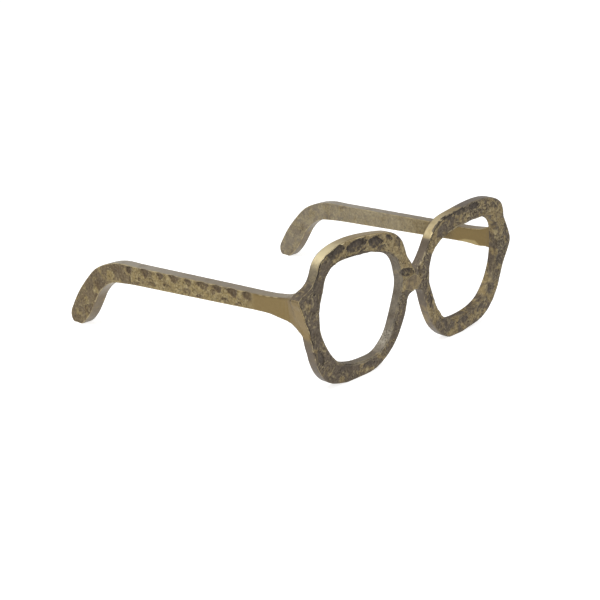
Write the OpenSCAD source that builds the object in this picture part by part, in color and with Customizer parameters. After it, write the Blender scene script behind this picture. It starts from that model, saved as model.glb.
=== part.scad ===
// Free-standing sculpture in the form of a pair of empty spectacles, cast in metal.
// Two flat rim castings and two flat temple castings, pinned together and brazed.
// The front faces -Y, the temples run towards +Y and the piece stands on z = 0, with the
// origin under the middle of its width and depth.

/* [Front] */
// Width over the two lug tips
front_w = 203.2; // [180:0.1:230]
// Height of the rims
front_h = 86; // [80:0.5:110]
// Thickness of a rim, front to back
rim_t = 6.5; // [5.5:0.1:9]
// Width of the bar over the lens opening
top_bar = 11.2; // [8:0.1:16]
// Width of the bar under the lens opening
bottom_bar = 9.2; // [7:0.1:14]
// Width of the bar beside the lens opening, without the lug
side_bar = 7.3; // [6:0.1:10]
// Width of the bar from the bridge joint to the lens opening
nose_bar = 13.6; // [11:0.1:18]
// How much wider the bars over and under the right opening are
right_extra = 2.4; // [0:0.1:4]
// Rounding of the rims' edges
rim_edge = 0.8; // [0.6:0.1:1.8]

/* [Bridge] */
// Height of the face where the two rims meet
bridge_h = 10; // [8:0.5:14]
// Height of the middle of that face above the table
bridge_z = 46.6; // [42:0.1:52]
// How far the braze on the bridge stands proud
bridge_crown = 0.5; // [0.2:0.1:1]

/* [Lugs] */
// How far a lug reaches out past the side of its rim
lug_reach = 8.7; // [6:0.1:12]
// Height of the left lug's tip above the table
left_lug_z = 60; // [56:0.1:64]
// Height of the right lug's rounder tip above the table
right_lug_z = 51.3; // [48:0.1:55]
// Height of a lug from its tip down to where it runs out
lug_drop = 26; // [22:0.1:32]
// Width and depth of the braze groove round a temple's root
lug_braze_w = 1.6; // [1:0.1:2]

/* [Temples] */
// Overall depth, from the rims' front to the back of the right hook
depth = 208; // [180:0.1:230]
// How much shorter the left temple is
left_short = 4; // [0:0.1:8]
// Thickness of a temple, side to side
temple_t = 8.8; // [7.5:0.1:10]
// How far a temple's outer side lies inside its lug's tip, where the splay starts
temple_inset = 3.3; // [2:0.1:5]
// Angle by which each temple leans outwards to the rear
splay = 2.1; // [0:0.1:3]
// Height of a temple's top line above the table, just behind the lug
top_front = 55.7; // [52:0.1:58]
// Height of its top line above the table, where the hook starts
top_rear = 50.4; // [46:0.1:56]
// Height of the bar behind the lug
bar_front = 10.1; // [9:0.1:13]
// Height of the bar where the hook starts
bar_rear = 12.3; // [9:0.1:15]
// Length of the hook, front to back
hook_l = 65.2; // [55:0.1:75]
// Length of the flare at a temple's root
flare_l = 14; // [10:0.5:20]
// Rounding of the temples' edges
temple_edge = 0.9; // [0.6:0.1:2]

/* [Hammering] */
// Depth of the widest dents in the rims' front faces
dent_depth = 1.6; // [0.4:0.1:2]
// Half the length of a long dent there
dent_l = 7.2; // [5:0.1:9]
// Half the width of the widest dents there
dent_w = 3.4; // [2.5:0.1:4.5]
// Depth of the dents in the temples' outer faces
temple_dent_depth = 0.7; // [0.3:0.1:1.2]
// Half the length of a dent in a temple's upper row
temple_dent_l = 4.2; // [3:0.1:5]
// Half its width
temple_dent_w = 2.9; // [2:0.1:3.5]
// Distance between the dents along a temple
dent_pitch = 12.4; // [10:0.1:18]
// Distance from the rims' front to the first of them, behind the filed part
first_dent = 43; // [30:0.5:60]

/* [Dowels] */
// Diameter of the locating dowels
dowel_d = 2.5; // [2:0.1:3]
// Depth of a lug dowel's hole in the rim
dowel_in_rim = 4.5; // [3:0.1:5]
// Depth of a lug dowel's hole in the temple
dowel_in_temple = 8; // [6:0.1:12]
// Length of the bridge dowel
bridge_dowel_l = 14; // [10:0.1:20]

/* [Hidden] */

// Steps of the smooth outlines between two control points
rim_steps = 3;
temple_steps = 3;
// Steps on each rounded edge
edge_steps = 3;
// How far the feet are cast below the table's plane before they are ground flat
grind = 0.4;
// The temple's root stays this far inside the outline of the lug
root_margin = 0.4;
// How far a root's inner corners lie above its outer ones, at the top and underneath
top_rise = 4.3;
under_rise = 6;

rim_side = front_w / 2 - lug_reach;
bridge_top = bridge_z + bridge_h / 2;
bridge_bottom = bridge_z - bridge_h / 2;
under_rear = top_rear - bar_rear;
under_front = top_front - bar_front;

// A smooth curve through a list of control points of any dimension
function spline(a, b, c, d, t) =
    0.5 * (2 * b + (c - a) * t + (2 * a - 5 * b + 4 * c - d) * t * t + (3 * b - a - 3 * c + d) * t * t * t);
function smooth_ring(p, n) =
    let (k = len(p))
    [for (i = [0:k - 1], j = [0:n - 1])
        spline(p[(i + k - 1) % k], p[i], p[(i + 1) % k], p[(i + 2) % k], j / n)];
function smooth_line(p, n) =
    let (k = len(p))
    [for (i = [0:k - 2], j = [0:(i == k - 2 ? n : n - 1)])
        spline(p[max(i - 1, 0)], p[i], p[i + 1], p[min(i + 2, k - 1)], j / n)];

function toward(a, b) = (b - a) / norm(b - a);
// One corner of a section, rounded from the side that comes in to the side that goes out
function round_corner(before, corner, after, r) =
    let (s = corner + r * toward(corner, before), e = corner + r * toward(corner, after))
    [for (i = [0:edge_steps]) let (t = i / edge_steps)
        (1 - t) * (1 - t) * s + 2 * t * (1 - t) * corner + t * t * e];
function round_quad(q, r) =
    [for (i = [0:3], p = round_corner(q[(i + 3) % 4], q[i], q[(i + 1) % 4], r)) p];
// The same four corners, drawn in by g along both of their sides
function inset_quad(q, g) =
    [for (i = [0:3]) q[i] + g * toward(q[i], q[(i + 3) % 4]) + g * toward(q[i], q[(i + 1) % 4])];

// A solid skinned over sections that all have as many points
module skin(sections, closed = false) {
    n = len(sections[0]);
    k = len(sections);
    walls = [for (i = [0:(closed ? k - 1 : k - 2)], j = [0:n - 1])
        let (a = i * n, b = ((i + 1) % k) * n, j2 = (j + 1) % n)
        each [[a + j, b + j, b + j2], [a + j, b + j2, a + j2]]];
    caps = closed ? [] : [[for (j = [0:n - 1]) j], [for (j = [n - 1:-1:0]) (k - 1) * n + j]];
    polyhedron([for (s = sections) each s], concat(walls, caps), convexity = 10);
}

// Everything is modelled from the rims' front face back, as a right-hand piece; this mirrors
// it for the left and brings the middle of the depth to the origin
module placed(side = 1) {
    translate([0, (bridge_crown - depth) / 2, 0]) {
        if (side < 0) mirror([1, 0, 0]) children();
        else children();
    }
}

// Outer outlines of the two rims, each modelled by hand, as shares of a rim's width and height:
// first from the bridge up and over to the lug, then from the lug back under to the bridge
left_above = [[0.045, 0.687], [0.094, 0.753], [0.124, 0.828], [0.163, 0.891], [0.253, 0.954],
              [0.409, 0.984], [0.603, 1], [0.753, 0.989], [0.861, 0.955], [0.93, 0.897],
              [0.965, 0.806]];
left_below = [[0.972, 0.283], [0.948, 0.206], [0.894, 0.11], [0.8, 0.035],
              [0.614, -grind / front_h], [0.452, 0], [0.335, 0.031], [0.215, 0.117],
              [0.14, 0.228], [0.092, 0.344], [0.067, 0.456]];
right_above = [[0.056, 0.67], [0.105, 0.745], [0.14, 0.815], [0.187, 0.88], [0.275, 0.935],
               [0.425, 0.965], [0.61, 0.99], [0.765, 0.99], [0.885, 0.96], [0.967, 0.9],
               [0.995, 0.806]];
right_below = [[0.978, 0.283], [0.945, 0.206], [0.88, 0.113], [0.78, 0.045],
               [0.614, 0.01], [0.452, -grind / front_h], [0.344, 0.028], [0.237, 0.117],
               [0.167, 0.228], [0.118, 0.344], [0.073, 0.456]];
// Outlines of the lugs, as shares of their reach and drop from the tip: pointed on the left,
// rounder on the right
left_lug = [[0.13, 0.17], [1, 0], [0.7, -0.4], [0.18, -0.78], [0.01, -1]];
right_lug = [[0.1, 0.6], [0.61, 0.31], [1, 0], [0.64, -0.31], [0.2, -0.6]];
// The points of a lens opening that face those of the outer outline, as shares of the opening
left_opening = [[0.001, 0.622],
                [0.019, 0.694], [0.039, 0.766], [0.075, 0.838], [0.137, 0.899], [0.227, 0.937],
                [0.38, 0.984], [0.588, 1], [0.741, 1], [0.846, 0.973], [0.914, 0.915],
                [0.943, 0.84],
                [0.959, 0.775], [0.977, 0.715], [0.993, 0.629], [0.99, 0.494], [0.974, 0.411],
                [0.921, 0.292], [0.862, 0.195], [0.789, 0.105], [0.697, 0.047],
                [0.56, 0.009], [0.415, 0], [0.29, 0.011], [0.193, 0.078],
                [0.121, 0.17], [0.068, 0.313], [0.031, 0.435],
                [0.006, 0.529]];
right_opening = [[0.001, 0.622],
                 [0.01, 0.694], [0.028, 0.766], [0.067, 0.838], [0.133, 0.899], [0.24, 0.945],
                 [0.395, 0.978], [0.588, 0.997], [0.741, 1], [0.856, 0.975], [0.936, 0.92],
                 [0.97, 0.852],
                 [0.985, 0.78], [0.995, 0.7], [0.997, 0.6], [0.99, 0.494], [0.977, 0.411],
                 [0.937, 0.292], [0.883, 0.19], [0.807, 0.1], [0.705, 0.043],
                 [0.57, 0.01], [0.425, 0], [0.31, 0.014], [0.22, 0.085],
                 [0.15, 0.18], [0.085, 0.313], [0.035, 0.435],
                 [0.004, 0.529]];

function lug_z(side) = side < 0 ? left_lug_z : right_lug_z;
function outer_outline(side) = concat(
    [[0, bridge_top]],
    [for (p = side < 0 ? left_above : right_above) [p.x * rim_side, p.y * front_h]],
    [for (p = side < 0 ? left_lug : right_lug)
        [rim_side + p.x * lug_reach, lug_z(side) + p.y * lug_drop]],
    [for (p = side < 0 ? left_below : right_below) [p.x * rim_side, p.y * front_h]],
    [[0, bridge_bottom]]);
// The bars round the right opening are this much wider
function extra_bar(side) = side < 0 ? 0 : right_extra;
function opening_outline(side) =
    let (lo = [nose_bar + extra_bar(side) / 2, bottom_bar + extra_bar(side)])
    let (hi = [rim_side - side_bar, front_h - top_bar - extra_bar(side)])
    [for (p = side < 0 ? left_opening : right_opening)
        [lo.x + p.x * (hi.x - lo.x), lo.y + p.y * (hi.y - lo.y)]];
function rim_path(side) =
    let (outer = outer_outline(side), opening = opening_outline(side))
    smooth_ring([for (i = [0:len(outer) - 1]) [each outer[i], each opening[i]]], rim_steps);

// Four corners of a rim's section: outer front, outer back, inner back, inner front
function rim_section(p) =
    let (x = max(p[0], 0))
    round_quad([[x, 0, p[1]], [x, rim_t, p[1]], [p[2], rim_t, p[3]], [p[2], 0, p[3]]], rim_edge);

// Top line and under line of a hook seen from the side, as shares of its length and height
hook_top = [[0.215, 0.989], [0.399, 0.932], [0.583, 0.817], [0.736, 0.627], [0.859, 0.437],
            [0.951, 0.247], [0.997, 0.124], [0.988, 0.034], [0.951, -grind / top_rear]];
hook_under = [[0.169, 0.968], [0.322, 0.926], [0.452, 0.806], [0.544, 0.645], [0.606, 0.471],
              [0.664, 0.31], [0.721, 0.174], [0.79, 0.055], [0.844, -grind / under_rear]];
flare_end = rim_t + 1.8 * flare_l;
function hook_y(side) = depth - (side < 0 ? left_short : 0) - hook_l;
// Height of the temple's root at the top and underneath, where it meets the lug
function root_top(side) = lug_z(side) + (side < 0 ? 0 : 0.31) * lug_drop - root_margin;
function root_under(side) = lug_z(side) - (side < 0 ? 1 : 0.42) * lug_drop;
// Distance from the middle to the root's outer corners
function root_top_x(side) = rim_side + (side < 0 ? 1 : 0.61) * lug_reach - root_margin;
function root_under_x(side) = rim_side + (side < 0 ? 0.01 : 0.5) * lug_reach - root_margin;
// How far the root reaches above and below the bar behind it
function flare_rise(side) = root_top(side) - top_front;
function flare_drop(side) = under_front - root_under(side);

// Top line and under line of a temple, as pairs of points in the side view; on the flare they
// rise and drop by shares of what the root reaches past the bar
function flare_point(side, along, up, down) =
    let (y = rim_t + along * flare_l)
    [y, top_front + up * flare_rise(side), y, under_front - down * flare_drop(side)];
function temple_control(side) =
    let (hook = hook_y(side))
    concat(
        [[rim_t, root_top(side), rim_t, root_under(side)],
         flare_point(side, 0.4, 0.67, 0.28), flare_point(side, 1, 0.33, 0.05)],
        [for (s = [0:0.25:1]) let (y = flare_end + s * (hook - flare_end))
            [y, top_front + s * (top_rear - top_front), y, under_front + s * (under_rear - under_front)]],
        [for (i = [0:len(hook_top) - 1])
            [hook + hook_top[i].x * hook_l, hook_top[i].y * top_rear,
             hook + hook_under[i].x * hook_l, hook_under[i].y * under_rear]]);
function temple_path(side) = smooth_line(temple_control(side), temple_steps);

// 1 at the rim's back, falling smoothly to 0 at the end of the flare
function flare(y) = pow(max(0, 1 - (y - rim_t) / flare_l), 2);
function outer_x(y) = front_w / 2 - temple_inset + y * tan(splay);
// Four corners of a temple's section: top inner, top outer, under outer, under inner
function temple_corners(side, p) =
    [[outer_x(p[0]) - temple_t, p[0], p[1] + top_rise * flare(p[0])],
     [outer_x(p[0]) + (root_top_x(side) - outer_x(rim_t)) * flare(p[0]), p[0], p[1]],
     [outer_x(p[2]) + (root_under_x(side) - outer_x(rim_t)) * flare(p[2]), p[2], p[3]],
     [outer_x(p[2]) - temple_t, p[2], p[3] + under_rise * flare(p[2])]];
function temple_section(side, p) = round_quad(temple_corners(side, p), temple_edge);
// The face that butts against the rim, inside the braze groove
function root_core(side) =
    round_quad(inset_quad(temple_corners(side, temple_path(side)[0]), lug_braze_w), temple_edge / 2);

// Places of the two dowels in a lug, as x and z, both within the bar behind it
lug_dowel_places = [for (s = [0.23, 0.77])
    [outer_x(rim_t) - temple_t / 2, top_front - s * bar_front]];

module lug_dowel_set() {
    for (p = lug_dowel_places)
        translate([p.x, rim_t - dowel_in_rim, p.y]) rotate([-90, 0, 0])
            cylinder(h = dowel_in_rim + dowel_in_temple, d = dowel_d, $fn = 32);
}

module bridge_pin() {
    translate([-bridge_dowel_l / 2, rim_t / 2, bridge_z]) rotate([0, 90, 0])
        cylinder(h = bridge_dowel_l, d = dowel_d, $fn = 32);
}

// Everything under the table's plane, which the grinding takes off
module below_table() {
    translate([-front_w, -depth, -front_h]) cube([2 * front_w, 3 * depth, front_h]);
}

// One dent in a face that looks towards -Y, turned by an angle: an oval with sloping sides and
// a nearly flat floor, given by half its length, half its width and its depth
module dent(a, b, depth, turn = 0) {
    rotate([0, turn, 0])
        skin([for (ring = [[1.2, -0.4], [0.75, 0.75], [0.35, 1]])
            [for (t = [0:30:330]) [ring[0] * a * cos(t), ring[1] * depth, -ring[0] * b * sin(t)]]]);
}

// Dents in a rim's front face: place as shares of the rim's width and height, shares of the
// longest half length and the widest half width, and the angle by which they slope down outwards.
// Wider ones are deeper too. The seventh on the left is the hollow over the bridge.
left_dents = [[0.778, 0.944, 1, 1, 16], [0.592, 0.951, 1.05, 1, 6], [0.416, 0.93, 0.74, 1, -6],
              [0.276, 0.932, 0.47, 0.52, -12], [0.205, 0.855, 0.47, 0.6, -60],
              [0.952, 0.8, 0.95, 0.8, 82], [0.1, 0.64, 0.82, 0.75, 10],
              [0.918, 0.25, 0.7, 0.6, -70], [0.658, 0.111, 1, 0.5, 4], [0.464, 0.066, 0.67, 0.45, 0],
              [0.218, 0.29, 0.75, 0.45, -66]];
right_dents = [[0.375, 0.949, 0.8, 0.9, -8], [0.533, 0.93, 0.68, 0.8, 0], [0.669, 0.95, 0.82, 0.9, 4],
               [0.86, 0.9, 0.68, 0.7, 30], [1.01, 0.7, 0.5, 0.6, 84], [0.954, 0.47, 0.65, 0.55, -84],
               [0.853, 0.225, 0.68, 0.6, -62], [0.76, 0.14, 0.62, 0.55, -34], [0.12, 0.79, 0.62, 0.64, -64],
               [0.159, 0.36, 0.7, 0.55, 80], [0.33, 0.13, 0.68, 0.55, 36], [0.547, 0.09, 0.8, 0.5, 0]];
module rim_dents(side) {
    for (d = side < 0 ? left_dents : right_dents)
        translate([d[0] * rim_side, 0, d[1] * front_h])
            dent(d[2] * dent_l, d[3] * dent_w, d[3] * dent_depth, d[4]);
}

// Two rows of dents on a temple's outer face, larger along its top, smaller and between them
// below, and a few down the hook, given by their share of its length
hook_dents = [[0.3, 0.83], [0.55, 0.67], [0.76, 0.42], [0.84, 0.15]];
// Size of the dents in the lower row and of those on the hook, against the upper row
lower_dents = 0.78;
hook_size = 1.2;
module temple_dent(y, z, size, turn) {
    translate([outer_x(y), y, z]) rotate([0, 0, 90])
        dent(size * temple_dent_l, size * temple_dent_w, temple_dent_depth, turn);
}
module temple_dents(side) {
    hook = hook_y(side);
    for (i = [0:floor((hook - first_dent) / dent_pitch)]) {
        y = first_dent + i * dent_pitch;
        top = top_front + (y - flare_end) / (hook - flare_end) * (top_rear - top_front);
        temple_dent(y, top - 0.24 * bar_front, 1, 12 * sin(140 * i));
        temple_dent(y + dent_pitch / 2, top - 0.72 * bar_front, lower_dents, 30 * sin(100 * i));
    }
    for (p = hook_dents)
        temple_dent(hook + p.x * hook_l, p.y * top_rear, hook_size, 70 * p.x);
}

module rim(side) {
    placed(side) difference() {
        skin([for (p = rim_path(side)) rim_section(p)], closed = true);
        rim_dents(side);
        lug_dowel_set();
        bridge_pin();
        below_table();
    }
}

module temple(side) {
    path = temple_path(side);
    placed(side) difference() {
        skin(concat([root_core(side)], [for (i = [1:len(path) - 1]) temple_section(side, path[i])]));
        temple_dents(side);
        lug_dowel_set();
        below_table();
    }
}

// Filler in the groove round a temple's root, dressed flush with the temple
module lug_braze(side) {
    path = temple_path(side);
    placed(side)
        skin([temple_section(side, path[0]), temple_section(side, path[1]), root_core(side)], closed = true);
}

// Filler in the grooves where the rims meet, crowned at the front and the back: one section
// holds the rounded edges of both rims and the crown between them
function bridge_bead(p, front) =
    let (s = rim_section(p), n = edge_steps)
    let (edge = [for (i = [0:n]) front ? s[n - i] : s[n + 1 + i]])
    let (y = front ? -bridge_crown : rim_t + bridge_crown, x = edge[n].x, z = p[1])
    concat(
        edge,
        [[x / 2, y, z], [-x / 2, y, z]],
        [for (i = [n:-1:1]) [-edge[i].x, edge[i].y, edge[i].z]]);
// The same list backwards
function backwards(p) = [for (i = [len(p) - 1:-1:0]) p[i]];

module bridge_beads() {
    path = rim_path(1);
    meet = [for (i = [0:rim_steps]) path[(len(path) - rim_steps + i) % len(path)]];
    skin([for (p = meet) bridge_bead(p, true)]);
    skin([for (p = backwards(meet)) bridge_bead(p, false)]);
}

module left_rim() { color("#6f6550") rim(-1); }
module right_rim() { color("#6f6550") rim(1); }
module left_temple() { color("#8a7846") temple(-1); }
module right_temple() { color("#8a7846") temple(1); }
module bridge_braze() { color("#9a8650") placed() bridge_beads(); }
module left_lug_braze() { color("#a8925a") lug_braze(-1); }
module right_lug_braze() { color("#a8925a") lug_braze(1); }
module bridge_dowel() { color("#9aa0a6") placed() bridge_pin(); }
module left_lug_dowels() { color("#9aa0a6") placed(-1) lug_dowel_set(); }
module right_lug_dowels() { color("#9aa0a6") placed() lug_dowel_set(); }

left_rim();
right_rim();
left_temple();
right_temple();
bridge_braze();
left_lug_braze();
right_lug_braze();
bridge_dowel();
left_lug_dowels();
right_lug_dowels();
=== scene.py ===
"""Looks of the spectacles sculpture: hammered rims, hammered temples, brazed joints.

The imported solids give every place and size. The four castings are built again here with their
fine hammering, because a solid can only carry the larger dents. Lengths are in metres.
"""
import math
from functools import reduce
from types import SimpleNamespace

import bmesh
import bpy
import numpy as np
from mathutils import Matrix, Vector, noise
from numpy.linalg import norm


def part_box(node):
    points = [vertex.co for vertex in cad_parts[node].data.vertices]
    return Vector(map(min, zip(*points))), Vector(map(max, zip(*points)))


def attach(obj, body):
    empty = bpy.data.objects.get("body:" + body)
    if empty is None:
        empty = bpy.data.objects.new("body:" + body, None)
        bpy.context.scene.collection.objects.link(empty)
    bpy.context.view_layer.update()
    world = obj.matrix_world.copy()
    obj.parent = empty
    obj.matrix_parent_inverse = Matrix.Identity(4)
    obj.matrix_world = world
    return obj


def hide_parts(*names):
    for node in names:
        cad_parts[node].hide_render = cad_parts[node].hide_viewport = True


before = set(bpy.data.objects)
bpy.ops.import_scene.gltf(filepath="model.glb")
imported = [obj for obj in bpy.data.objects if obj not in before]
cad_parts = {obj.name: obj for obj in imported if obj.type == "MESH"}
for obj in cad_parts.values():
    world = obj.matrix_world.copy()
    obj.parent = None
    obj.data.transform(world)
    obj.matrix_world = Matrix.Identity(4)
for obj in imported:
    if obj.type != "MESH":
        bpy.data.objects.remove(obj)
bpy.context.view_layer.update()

MM = 0.001
FRONT_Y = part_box("left_rim")[0].y  # the rims' front face
RIM_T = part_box("left_rim")[1].y - FRONT_Y
RIM_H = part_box("left_rim")[1].z
RIM_SIDE = 92.9 * MM  # from the bridge joint to a rim's side, without the lug
WORD = {-1: "left", 1: "right"}
WELD = 0.002 * MM  # points of a solid this close are one point

# The camera, as fitted to the photograph
CAMERA_PLACE = Vector((-544.7, -517.65, 271.0)) * MM
CAMERA_TURN = math.radians(-47.4)
CAMERA_RISE = math.radians(18.85)
CAMERA_ROLL = math.radians(-0.08)
SENSOR = 36.0
FRAME_PX = 600  # side of the photograph in pixels
FOCAL_PX = 1192.5  # focal length in those pixels
SHIFT = (-0.0158, -0.0095)
CLIP = (0.01, 20)


def linked(name, data):
    """A new object of the scene."""
    item = bpy.data.objects.new(name, data)
    bpy.context.scene.collection.objects.link(item)
    return item


def make_camera():
    back = Vector((math.sin(CAMERA_TURN) * math.cos(CAMERA_RISE),
                   -math.cos(CAMERA_TURN) * math.cos(CAMERA_RISE), math.sin(CAMERA_RISE)))
    right = Vector((math.cos(CAMERA_TURN), math.sin(CAMERA_TURN), 0.0))
    up = back.cross(right)
    tilted = right * math.cos(CAMERA_ROLL) + up * math.sin(CAMERA_ROLL)
    turn = Matrix((tilted, back.cross(tilted), back)).transposed().to_4x4()
    data = bpy.data.cameras.new("camera")
    data.sensor_width = SENSOR
    data.lens = SENSOR * FOCAL_PX / FRAME_PX
    data.shift_x, data.shift_y = SHIFT
    data.clip_start, data.clip_end = CLIP
    camera = linked("camera", data)
    camera.matrix_world = Matrix.Translation(CAMERA_PLACE) @ turn
    bpy.context.scene.camera = camera


# Outlines taken from the solids

def slice_loops(node_name, depth):
    """The closed loops of (x, z) where the plane that far behind the rims' front cuts a solid,
    with the most points first."""
    bm = bmesh.new()
    bm.from_mesh(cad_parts[node_name].data)
    bmesh.ops.remove_doubles(bm, verts=bm.verts, dist=WELD)
    everything = bm.verts[:] + bm.edges[:] + bm.faces[:]
    cut = bmesh.ops.bisect_plane(bm, geom=everything, plane_co=(0, FRONT_Y + depth, 0),
                                 plane_no=(0, 1, 0))["geom_cut"]
    edges = {e for e in cut if isinstance(e, bmesh.types.BMEdge)}
    loops = []
    while edges:
        first = edges.pop()
        start, here = first.verts
        points = [start.co.copy(), here.co.copy()]
        while here is not start:
            step = next((e for e in here.link_edges if e in edges), None)
            if step is None:
                break
            edges.remove(step)
            here = step.other_vert(here)
            points.append(here.co.copy())
        loops.append(np.array(points[:-1])[:, [0, 2]])
    bm.free()
    return sorted(loops, key=len, reverse=True)


def by_angle(loop, centre, angles):
    """A star-shaped loop of (x, z) read off at the given angles round a centre."""
    rel = loop - centre
    a = np.arctan2(rel[:, 1], rel[:, 0])
    order = np.argsort(a)
    a, rel = a[order], rel[order]
    a = np.concatenate([a[-1:] - 2 * math.pi, a, a[:1] + 2 * math.pi])
    rel = np.concatenate([rel[-1:], rel, rel[:1]])
    out = []
    for t in angles:
        i = min(max(np.searchsorted(a, t), 1), len(a) - 1)
        p, q = rel[i - 1], rel[i]
        d = np.array([math.cos(t), math.sin(t)])
        cross = d[0] * (q - p)[1] - d[1] * (q - p)[0]
        s = (p[0] * d[1] - p[1] * d[0]) / cross if abs(cross) > 1e-12 else 0.0
        out.append(centre + p + min(max(s, 0.0), 1.0) * (q - p))
    return np.array(out)


def smoothed(ring, width):
    """A closed ring of points softened over about that many of its steps."""
    reach = int(3 * width)
    weights = np.exp(-0.5 * (np.arange(-reach, reach + 1) / width) ** 2)
    weights /= weights.sum()
    return sum(w * np.roll(ring, k, axis=0) for w, k in zip(weights, range(-reach, reach + 1)))


def grown(value, start, end):
    """0 at start, 1 at end, eased at both."""
    t = np.clip((value - start) / (end - start), 0, 1)
    return t * t * (3 - 2 * t)


def bump(value, middle, half):
    """1 at the middle, easing to 0 at half a width to either side."""
    return grown(half - np.abs(value - middle), 0, half)


def between(value, rise, fall):
    """0 before a rise and behind a fall, 1 between them, eased along both."""
    return grown(value, *rise) * (1 - grown(value, *fall))


def most(*values):
    """The largest of several values at each place."""
    return reduce(np.maximum, values)


def positive(value, ease):
    """The value where it is above zero, easing to 0 below."""
    return 0.5 * (value + np.sqrt(value ** 2 + ease ** 2))


def fractal(points, size, rough=0.9, finer=2.1, octaves=3):
    """Fractal noise at each point, with broadest waves of that size."""
    return np.array([noise.fractal(Vector(p) / size, rough, finer, octaves) for p in points])


# Hammering

# Dents in the rims' front faces, near where the solids have them: place as shares of a rim's side
# and height, half length, half width (mm), slope outwards (degrees), and depth (mm)
DENTS = {
    -1: [(0.776, 0.93, 7.2, 3.7, 17, 1.7), (0.592, 0.935, 8.2, 4, 6, 1.7),
         (0.416, 0.918, 5.8, 3.8, -6, 1.6), (0.285, 0.925, 3.2, 1.6, -28, 1.1),
         (0.195, 0.87, 3.2, 2.6, -60, 0.6), (0.955, 0.8, 7.6, 2.6, 82, 0.7),
         (0.918, 0.25, 5.2, 3, -70, 0.8), (0.658, 0.111, 7.4, 2.4, 4, 0.7),
         (0.464, 0.066, 5, 2, 0, 0.6), (0.218, 0.29, 5.4, 2.2, -66, 0.6),
         (0.36, 0.87, 3.6, 1.8, 10, 0.6), (0.56, 0.875, 4.4, 1.6, 24, 0.7)],
    1: [(0.345, 0.935, 4.4, 3.2, -12, 1.2), (0.158, 0.865, 3.6, 1.3, -58, 1.2),
        (0.47, 0.94, 5.4, 3, 0, 1), (0.63, 0.95, 5.6, 3, 4, 1),
        (0.86, 0.9, 4.6, 2.6, 30, 0.6), (1.01, 0.7, 4, 2.2, 84, 0.6),
        (0.954, 0.47, 4.8, 2, -84, 0.6), (0.853, 0.225, 5, 2.4, -62, 0.6),
        (0.76, 0.14, 4.6, 2.2, -34, 0.6), (0.12, 0.79, 5, 2.2, -64, 1),
        (0.159, 0.36, 5.4, 2.2, 80, 0.7), (0.33, 0.13, 5, 2.4, 36, 0.6),
        (0.547, 0.09, 6, 2.2, 0, 0.6)],
}
# The hollow above the bridge's facet on the left rim, as a dent
RECESS = (0.096, 0.628, 6.2, 3, -6, 1.8)
LARGE_DEPTH = 1  # dents deeper than this have a more even outline
# Raised lines in a rim's front face: place, half length, half width (mm) and slope
RIDGES = {
    -1: [(0.995, 0.6, 5, 0.7, 72), (0.965, 0.4, 6, 0.6, 82), (0.93, 0.66, 4.5, 0.5, 95),
         (0.7, 0.885, 5.5, 0.6, 38), (0.595, 0.907, 4.2, 0.5, 13), (0.33, 0.87, 3.5, 0.5, -40),
         (0.8, 0.14, 4, 0.5, 68), (0.52, 0.13, 3, 0.5, 60), (0.22, 0.43, 4, 0.6, -76)],
    1: [(0.085, 0.8, 6, 0.7, -70), (0.93, 0.62, 5, 0.6, 80), (0.97, 0.36, 4.5, 0.6, -78),
        (0.89, 0.8, 4, 0.6, 60), (0.44, 0.88, 4, 0.5, 25), (0.13, 0.5, 4.5, 0.6, 84),
        (0.68, 0.1, 4, 0.5, -20), (0.25, 0.2, 4, 0.6, -55)],
}
# The crease beside the bridge's facet on the right rim, as a line sunk into the metal
CREASE = (0.035, 0.63, 6.5, 0.9, 68)
# Small round pits: place and half width (mm)
PITS = {
    -1: [(0.225, 0.865, 0.9), (0.25, 0.89, 0.7), (0.885, 0.52, 0.8), (0.9, 0.46, 0.8),
         (0.11, 0.7, 0.7), (0.15, 0.72, 0.5), (0.09, 0.735, 0.5), (0.38, 0.96, 0.8),
         (0.41, 0.91, 0.7), (0.6, 0.16, 0.7)],
    1: [(0.53, 0.911, 1), (0.6, 0.94, 0.8), (0.8, 0.926, 0.9), (0.94, 0.71, 0.8),
        (0.118, 0.543, 0.8), (0.086, 0.529, 0.7), (0.07, 0.66, 0.7), (0.12, 0.7, 0.6),
        (0.93, 0.55, 0.7), (0.86, 0.3, 0.6)],
}
# Corners of the smooth facet filed across the bridge, as x and z in mm
FACET = [(-13, 48.9), (-2.5, 52.2), (2.2, 50), (6.4, 45.4), (2, 41.2), (-4.2, 41.4),
         (-10.6, 44.3)]
CRUMB = 1.5 * MM  # size of the finest grains of the cast skin


def cast_skin(points, lumps, ridges):
    """Noise of a cast skin at each point: broad lumps, thin raised lines and crumbs."""
    seam = [noise.ridged_multi_fractal(Vector(p) / ridges, 0.9, 2.2, 3, 0.9, 2.0) for p in points]
    crumb = fractal(points, CRUMB, rough=0.8, octaves=2)
    return fractal(points, lumps), grown(np.array(seam), 0.95, 1.45), crumb


def within(x, z, corners):
    """Distance inwards from the nearest side of a convex outline, negative outside it."""
    room = np.full_like(x, 1.0)
    for (x0, z0), (x1, z1) in zip(corners, corners[1:] + corners[:1]):
        length = math.hypot(x1 - x0, z1 - z0)
        inwards = ((x - x0 * MM) * (z1 - z0) - (z - z0 * MM) * (x1 - x0)) / length
        room = np.minimum(room, inwards)
    return room


def local(x, z, u, v, a, b, turn):
    """Places measured along and across a mark on a rim's front, in its half length and width."""
    t = math.radians(turn)
    dx, dz = np.abs(x) - u * RIM_SIDE, z - v * RIM_H
    return ((dx * math.cos(t) - dz * math.sin(t)) / (a * MM),
            (dx * math.sin(t) + dz * math.cos(t)) / (b * MM))


def streak(x, z):
    """Strokes that cross the hollow over the bridge."""
    across, along = x / (1.1 * MM), z / (2.5 * MM)
    strokes = [noise.noise(Vector((a + b, 0, b))) for a, b in zip(across, along)]
    return 0.85 + 0.5 * np.array(strokes)


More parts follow.
